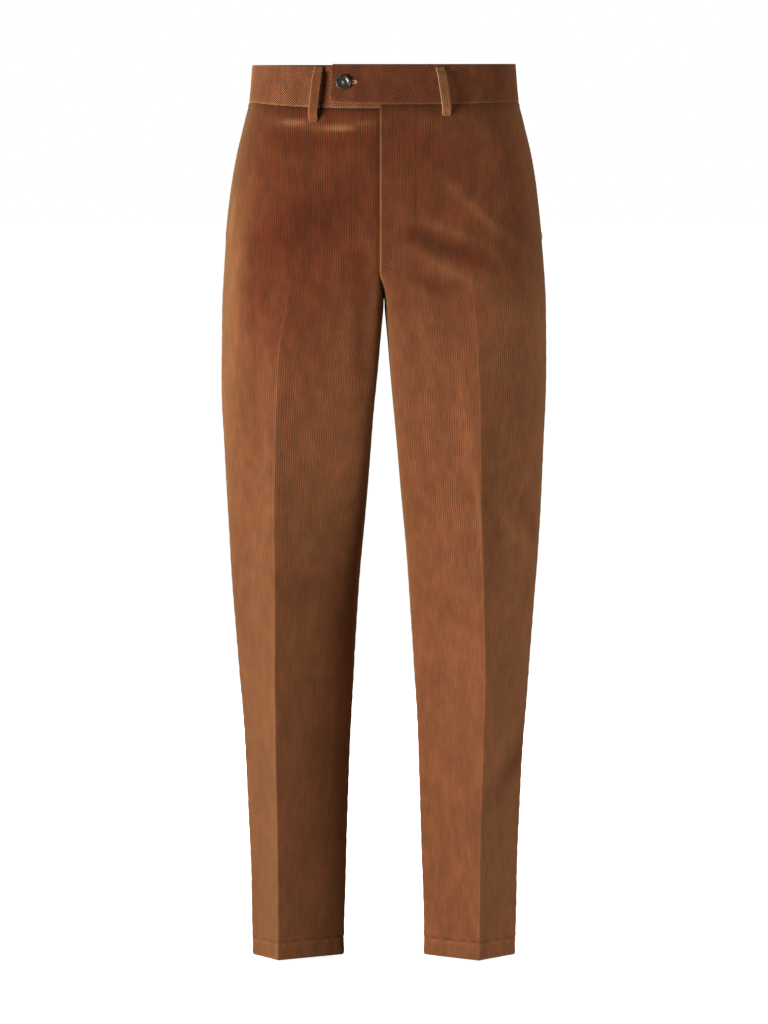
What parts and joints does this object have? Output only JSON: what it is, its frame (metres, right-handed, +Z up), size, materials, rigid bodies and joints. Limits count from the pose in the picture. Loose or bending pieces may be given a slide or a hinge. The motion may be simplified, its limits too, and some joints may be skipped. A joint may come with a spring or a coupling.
{
  "type": "corduroy trousers",
  "caption": "Straight corduroy trousers in their worn shape, open from waist to hems, with pressed creases, slanted pockets, a lapped waistband, belt loops and a horn button.",
  "frame": {"origin": "middle of the waist opening, level with the top edge of the waistband", "axes": "+Z up, out of the waist; the front faces -Y; +X is towards the wearer's left"},
  "size_m": [0.3811, 0.2648, 1.0514],
  "materials": {
    "corduroy": "fine brown corduroy with upright ribs, soft pile",
    "horn": "polished dark horn"
  },
  "bodies": {
    "root": {"front_right": "corduroy", "back_right": "corduroy", "front_left": "corduroy", "back_left": "corduroy", "pocket_facing_right": "corduroy", "pocket_facing_left": "corduroy", "waistband_right": "corduroy", "waistband_left": "corduroy", "belt_loop_front_right": "corduroy", "belt_loop_front_left": "corduroy", "belt_loop_back_right": "corduroy", "belt_loop_back_left": "corduroy", "belt_loop_centre_back": "corduroy", "waist_button": "horn"}
  },
  "joints": []
}
